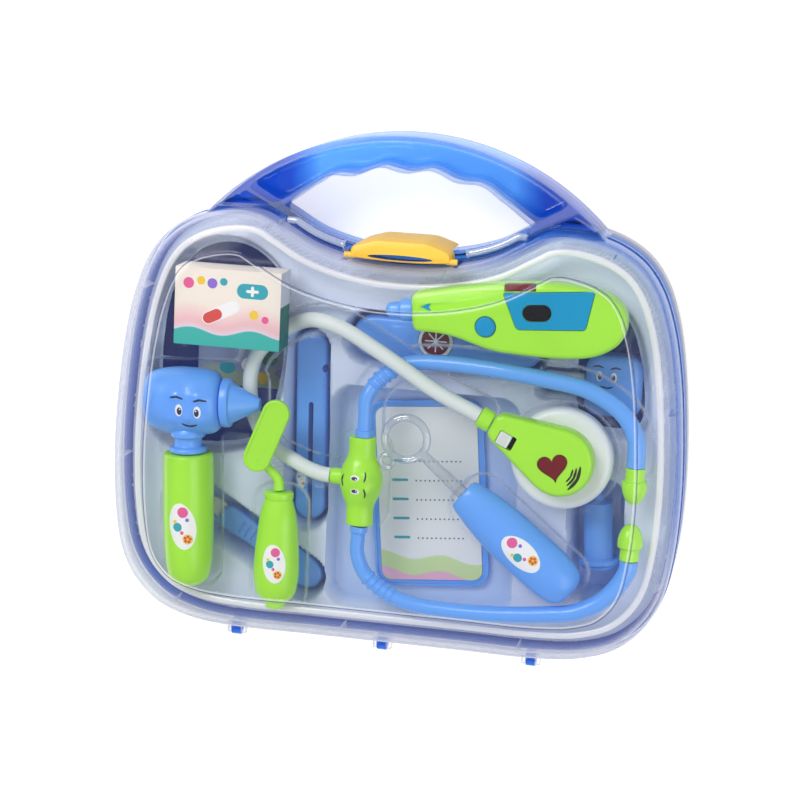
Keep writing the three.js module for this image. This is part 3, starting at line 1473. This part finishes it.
// Pockets of the clear blister, each round one of the upper tools.
function blisterPockets() {
  const c = pocketClearance;
  const headRight = otoscopeHeadLeft + otoscopeHeadLength + coneLength;
  const headLine = barPocket(otoscopeHeadLeft, headRight, otoscopeHeadRadius, true);
  const handleLine = barPocket(-otoscopeHandleLength, neckLength, otoscopeHandleRadius);
  const tubeFloor = toolAxis - tubeEndRadius - ribHeight;
  const crossing = Math.min(...upperTubeShares.map(([, , drop]) => drop)) * tubeStartRadius;
  const hoseFloor = toolAxis + (Math.min(...hoseShares.map(([, , drop]) => drop)) - 1) * hoseRadius;
  const lifted = headLine.map((p) => point(p.x, p.y + otoscopeHeadRise));
  return [
    { line: laid(handleLine, otoscopePlace, otoscopeTurn), low: toolAxis - otoscopeHandleRadius },
    {
      line: laid(lifted, otoscopePlace, otoscopeTurn),
      low: toolAxis - otoscopeHeadRadius * otoscopeFlatShare,
    },
    {
      line: laid(barPocket(-mirrorHandleLength, 0, mirrorHandleRadius), mirrorPlace, 0),
      low: toolAxis - mirrorHandleRadius * mirrorFlatShare,
    },
    {
      line: laid(barPocket(-hubLength / 2, hubLength / 2, hubRadius), hubPlace, 0),
      low: toolAxis - hubRadius * hubFlatShare,
    },
    { line: circle(chestPlace, discRadius + c, 20), low: toolAxis + discFoot },
    { line: laid(thermometerEdgeLine(-c), thermometerPlace, thermometerTurn), low: toolAxis + thermometerFoot },
    {
      line: laid(barPocket(-probeLength - c, c, probeRadius, true), thermometerPlace, thermometerTurn),
      low: toolAxis - probeRadius,
    },
    {
      line: laid(barPocket(0, lensHandleLength, lensHandleRadius, true), lensPlace, lensTurn),
      low: toolAxis - lensHandleRadius * lensFlatShare,
    },
    {
      line: laid(
        roundedRectangle(point(0, 0), cartonWidth + 2 * c, cartonHeight + 2 * c, 2 * c, 1), cartonPlace, 0,
      ),
      low: cartonFoot,
    },
    { line: channel(tubeCurve(upperTubeShares)), low: tubeFloor + crossing },
    { line: channel(tubeCurve(lowerTubeShares)), low: tubeFloor },
    { line: earTipPocket(), low: toolAxis - earTipRadius },
    { line: hoseChannel(), low: hoseFloor },
  ];
}

// The flat outline of a channel along a curve, wide enough for a headset tube.
function channel(curve) {
  const half = tubeEndRadius + ribHeight + pocketClearance;
  return ribbon(curve, channelSteps, half);
}

function ribbon(curve, steps, half) {
  const sides = [1, -1].map((side) =>
    evenStations(steps).map((t) => {
      const p = curve.getPointAt(t);
      const d = curve.getTangentAt(t);
      const length = Math.hypot(d.x, d.y);
      return point(p.x + (side * half * d.y) / length, p.y - (side * half * d.x) / length);
    }),
  );
  return [...sides[0], ...sides[1].reverse()];
}

function hoseChannel() {
  return ribbon(hoseCurve(), hoseChannelSteps, hoseRadius + 2 * pocketClearance);
}

function earTipPocket() {
  const upper = placeOf(upperTubeShares[upperTubeShares.length - 1]);
  const lower = placeOf(lowerTubeShares[lowerTubeShares.length - 1]);
  return stadium(upper, lower, earTipRadius + pocketClearance);
}

// The blister stands on the tray's flange: rim, skirt and a raised sheet with its pockets.
function blister() {
  const t = blisterThickness;
  const top = blisterPlane + t;
  const shell = caseBody([
    [blisterFlange, trayInset + fit], [blisterFlange + t, trayInset + fit], [blisterFlange + t, blisterSkirt],
    [top, blisterSkirt + t],
  ]);
  const under = caseBody([[blisterFlange - overrun, blisterSkirt + t], [blisterPlane, blisterSkirt + 2 * t]]);
  return formedSheet(cut(shell, under), blisterPlane, t, blisterPockets());
}

// Scene graph

const model = new THREE.Group();

function add(group, name, shape, material, position = [0, 0, 0], turn = 0) {
  const geometry = shape.isBufferGeometry ? geometryOf(solid(shape)) : geometryOf(shape);
  const mesh = new THREE.Mesh(geometry, material);
  mesh.name = name;
  mesh.position.set(...position);
  mesh.rotation.z = turn;
  group.add(mesh);
  return mesh;
}

function toolGroup(place, z, turn) {
  const group = new THREE.Group();
  group.position.set(place.x, place.y, z);
  group.rotation.z = turn;
  model.add(group);
  return group;
}

add(model, "base_shell", baseShell(), blueClear);
add(model, "lid_shell", lidShell(), clear);
add(model, "latch", latch(), yellow);
add(model, "tray", tray(), trayWhite);
add(model, "blister", blister(), film);

const otoscope = toolGroup(otoscopePlace, toolAxis, otoscopeTurn);
add(otoscope, "otoscope_handle", otoscopeHandle(), green);
add(otoscope, "otoscope_head", otoscopeHead(), toolBlue);
add(otoscope, "otoscope_cone", otoscopeCone(), toolBlue);

const mirror = toolGroup(mirrorPlace, toolAxis, 0);
add(mirror, "mirror_handle", mirrorHandle(), green);
add(mirror, "mirror_head", mirrorHead(), green);

const stethoscope = new THREE.Group();
model.add(stethoscope);
add(stethoscope, "stethoscope_hub", hub(), green, [hubPlace.x, hubPlace.y, toolAxis]);
add(stethoscope, "headset_tube_upper", headsetTube(upperTubeShares, upperRibShare), toolBlue);
add(stethoscope, "headset_tube_lower", headsetTube(lowerTubeShares, lowerRibShare), toolBlue);
for (const [name, shares, turn] of [
  ["ear_tip_upper", upperTubeShares, Math.PI],
  ["ear_tip_lower", lowerTubeShares, 0],
]) {
  const end = placeOf(shares[shares.length - 1]);
  const step = turn ? -fit : fit;
  add(stethoscope, name, earTip(), green, [end.x, end.y + step, toolAxis], turn);
}
add(stethoscope, "stethoscope_hose", hose(), white);

const chest = toolGroup(chestPlace, toolAxis, chestTurn);
add(chest, "chest_disc", chestDisc(), white);
add(chest, "chest_housing", chestHousing(), green);
add(chest, "chest_collar", chestCollar(), green);
add(chest, "chest_heart_lens", heartLens(), darkRed);
add(chest, "chest_slide_switch", slideButton(), white);

const thermometer = toolGroup(thermometerPlace, toolAxis, thermometerTurn);
add(thermometer, "thermometer_front", thermometerFront(), green);
add(thermometer, "thermometer_back", thermometerBack(), green);
add(thermometer, "thermometer_panel", thermometerPanel(), panelBlue);
add(thermometer, "thermometer_window", thermometerWindow(), black);
add(thermometer, "thermometer_button", thermometerButton(), panelBlue);
add(thermometer, "thermometer_side_lens", sideLensBlock(0), darkRed);
add(thermometer, "thermometer_probe", thermometerProbe(), toolBlue);

const lens = toolGroup(lensPlace, toolAxis, lensTurn);
add(lens, "lens_handle", lensHandle(), toolBlue);
add(lens, "lens_ring", lensRing(), clear);

const cartonHalf = [cartonWidth / 2, cartonHeight / 2];
const carton = block([-cartonHalf[0], -cartonHalf[1], 0], [cartonHalf[0], cartonHalf[1], cartonDepth]);
add(model, "carton", carton, paper, [cartonPlace.x, cartonPlace.y, cartonFoot]);

add(toolGroup(forcepsPlace, forcepsFoot, forcepsTurn), "forceps", forceps(), toolBlue);
const scalpel = toolGroup(scalpelPlace, scalpelFoot, scalpelTurn);
add(scalpel, "scalpel_handle", scalpelHandle(), toolBlue);
add(scalpel, "scalpel_blade", scalpelBlade(), white);
const board = toolGroup(boardPlace, boardFoot, boardTurn);
add(board, "clipboard", clipboard(), toolBlue);
add(board, "record_card", recordCard(), paper, [0, 0, boardThickness - cardThickness]);
const gauge = toolGroup(gaugePlace, gaugeFoot, 0);
add(gauge, "gauge_body", gaugeBody(), toolBlue);
add(gauge, "gauge_ring", gaugeRing(), white);
add(gauge, "gauge_dial", gaugeDial(), darkRed);
const hammer = toolGroup(hammerPlace, hammerFoot, 0);
add(hammer, "hammer_head", hammerHead(), toolBlue);
add(hammer, "hammer_handle", hammerHandle(), white);
const syringe = toolGroup(syringePlace, syringeAxis, syringeTurn);
add(syringe, "syringe_barrel", syringeBarrel(), toolBlue);
add(syringe, "syringe_plunger", syringePlunger(), toolBlue);
const leafletHalf = [leafletWidth / 2, leafletHeight / 2];
const leafletBlock = block([-leafletHalf[0], -leafletHalf[1], 0], [leafletHalf[0], leafletHalf[1], leafletThickness]);
add(model, "leaflet", leafletBlock, paper, [leafletPlace.x, leafletPlace.y, floorWall + fit]);

export default model;
